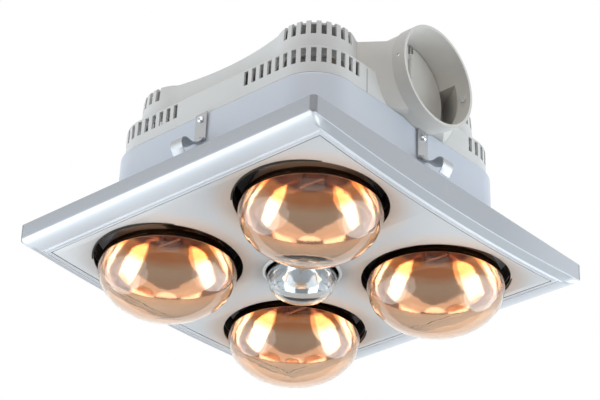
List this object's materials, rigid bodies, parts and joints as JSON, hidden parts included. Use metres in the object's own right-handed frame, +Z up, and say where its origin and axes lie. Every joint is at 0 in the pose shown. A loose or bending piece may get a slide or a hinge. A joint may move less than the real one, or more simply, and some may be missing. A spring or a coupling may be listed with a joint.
{
  "type": "ceiling_heat_lamp_unit",
  "caption": "Square ceiling unit with infrared reflector lamps round a centre light, a crowned silver fascia, a slotted upper housing with an exhaust fan, and a round duct spigot on one side",
  "frame": {"origin": "Middle of the ceiling plane, on the top face of the flange", "axes": "+Z points up into the ceiling space, +X points out through the duct spigot, +Y completes a right-handed frame"},
  "size_m": [0.352, 0.372, 0.2464],
  "materials": {
    "frame_paint": "satin silver-white paint with a fine lacquer",
    "panel_paint": "flat silver-grey paint",
    "skirt_steel": "pale blue-grey coated sheet, satin",
    "upper_shell": "off-white moulded plastic, fine grain",
    "spigot_plastic": "warm grey moulded plastic",
    "shield_black": "black heat-proof enamel",
    "sheet_steel": "bright zinc-plated sheet",
    "clip_steel": "bright nickel-plated spring steel",
    "screw_steel": "bright plated screws",
    "lamp_glass": "amber-tinted clear glass",
    "lamp_mirror": "vacuum-coated mirror, warm",
    "light_glass": "clear glass with a faint green tint",
    "light_mirror": "vacuum-coated mirror",
    "ring_white": "gloss white moulded ring",
    "cap_brass": "bright rolled thread",
    "filament_wire": "bare support wire on a glass stem",
    "holder_ceramic": "glazed ceramic",
    "scroll_plastic": "grey moulded plastic",
    "wheel_plastic": "white moulded plastic",
    "motor_paint": "dark grey enamel",
    "shaft_steel": "ground steel",
    "nut_brass": "turned brass",
    "capacitor_case": "moulded case",
    "terminal_plastic": "white moulded plastic",
    "gland_nylon": "black nylon"
  },
  "bodies": {
    "housing": {"lower_housing": "skirt_steel", "upper_housing": "upper_shell", "heat_shield": "shield_black", "lamp_tray": "sheet_steel", "fan_scroll": "scroll_plastic", "duct_spigot": "spigot_plastic", "spigot_screws": "screw_steel", "motor_body": "motor_paint", "motor_bracket": "sheet_steel", "run_capacitor": "capacitor_case", "capacitor_clip": "sheet_steel", "terminal_block": "terminal_plastic", "cable_gland": "gland_nylon", "gland_nut": "gland_nylon", "housing_screws": "screw_steel", "clip_plates": "clip_steel", "clip_screws": "screw_steel", "lamp_holder_1": "holder_ceramic", "lamp_holder_2": "holder_ceramic", "lamp_holder_3": "holder_ceramic", "lamp_holder_4": "holder_ceramic", "light_holder": "holder_ceramic", "light_bracket": "sheet_steel", "damper_pin": "shaft_steel"},
    "fascia": {"fascia_frame": "frame_paint", "fascia_panel": "panel_paint", "light_ring": "ring_white", "fascia_catches": "sheet_steel"},
    "lamp_1": {"lamp_1_glass": "lamp_glass", "lamp_1_mirror": "lamp_mirror", "lamp_1_cap": "cap_brass", "lamp_1_filament": "filament_wire"},
    "lamp_2": {"lamp_2_glass": "lamp_glass", "lamp_2_mirror": "lamp_mirror", "lamp_2_cap": "cap_brass", "lamp_2_filament": "filament_wire"},
    "lamp_3": {"lamp_3_glass": "lamp_glass", "lamp_3_mirror": "lamp_mirror", "lamp_3_cap": "cap_brass", "lamp_3_filament": "filament_wire"},
    "lamp_4": {"lamp_4_glass": "lamp_glass", "lamp_4_mirror": "lamp_mirror", "lamp_4_cap": "cap_brass", "lamp_4_filament": "filament_wire"},
    "centre_light": {"light_glass": "light_glass", "light_mirror": "light_mirror", "light_cap": "cap_brass", "light_filament": "filament_wire"},
    "fan_rotor": {"fan_wheel": "wheel_plastic", "fan_shaft": "shaft_steel", "wheel_nut": "nut_brass"},
    "flap_left": {"damper_flap_left": "spigot_plastic"},
    "flap_right": {"damper_flap_right": "spigot_plastic"},
    "clip_1": {"clip_arm_1": "clip_steel"},
    "clip_2": {"clip_arm_2": "clip_steel"},
    "clip_3": {"clip_arm_3": "clip_steel"},
    "clip_4": {"clip_arm_4": "clip_steel"}
  },
  "joints": [
    {"name": "fascia_drop", "type": "slide", "parent": "housing", "child": "fascia", "axis": [0, 0, -1], "range_m": [0, 0.08]},
    {"name": "fan_spin", "type": "hinge", "parent": "housing", "child": "fan_rotor", "pos_m": [0, 0, 0.1], "axis": [0, 0, 1], "continuous": true},
    {"name": "flap_left_swing", "type": "hinge", "parent": "housing", "child": "flap_left", "pos_m": [0.1233, 0, 0.1205], "axis": [0, 0, -1], "range_deg": [0, 65], "stiffness_Nm_per_rad": 0.002},
    {"name": "flap_right_swing", "type": "hinge", "parent": "housing", "child": "flap_right", "pos_m": [0.1233, 0, 0.1205], "axis": [0, 0, -1], "range_deg": [-65, 0], "stiffness_Nm_per_rad": 0.002},
    {"name": "lamp_1_unscrew", "type": "hinge", "parent": "housing", "child": "lamp_1", "pos_m": [0.0855, -0.0855, 0.08], "axis": [0, 0, -1], "range_deg": [0, 900]},
    {"name": "lamp_2_unscrew", "type": "hinge", "parent": "housing", "child": "lamp_2", "pos_m": [-0.0855, -0.0855, 0.08], "axis": [0, 0, -1], "range_deg": [0, 900]},
    {"name": "lamp_3_unscrew", "type": "hinge", "parent": "housing", "child": "lamp_3", "pos_m": [0.0855, 0.0855, 0.08], "axis": [0, 0, -1], "range_deg": [0, 900]},
    {"name": "lamp_4_unscrew", "type": "hinge", "parent": "housing", "child": "lamp_4", "pos_m": [-0.0855, 0.0855, 0.08], "axis": [0, 0, -1], "range_deg": [0, 900]},
    {"name": "light_unscrew", "type": "hinge", "parent": "housing", "child": "centre_light", "pos_m": [0, 0, 0.03], "axis": [0, 0, -1], "range_deg": [0, 900]},
    {"name": "clip_1_fold", "type": "hinge", "parent": "housing", "child": "clip_1", "pos_m": [-0.004, 0.1372, 0.0478], "axis": [1, 0, 0], "range_deg": [0, 30], "stiffness_Nm_per_rad": 0.05},
    {"name": "clip_2_fold", "type": "hinge", "parent": "housing", "child": "clip_2", "pos_m": [0.1372, 0.004, 0.0428], "axis": [0, -1, 0], "range_deg": [0, 30], "stiffness_Nm_per_rad": 0.05},
    {"name": "clip_3_fold", "type": "hinge", "parent": "housing", "child": "clip_3", "pos_m": [-0.004, -0.1372, 0.0478], "axis": [-1, 0, 0], "range_deg": [0, 30], "stiffness_Nm_per_rad": 0.05},
    {"name": "clip_4_fold", "type": "hinge", "parent": "housing", "child": "clip_4", "pos_m": [-0.1372, 0, 0.0478], "axis": [0, 1, 0], "range_deg": [0, 30], "stiffness_Nm_per_rad": 0.05}
  ],
  "couplings": [
    {"joint": "flap_right_swing", "follows": "flap_left_swing", "ratio": -1}
  ]
}
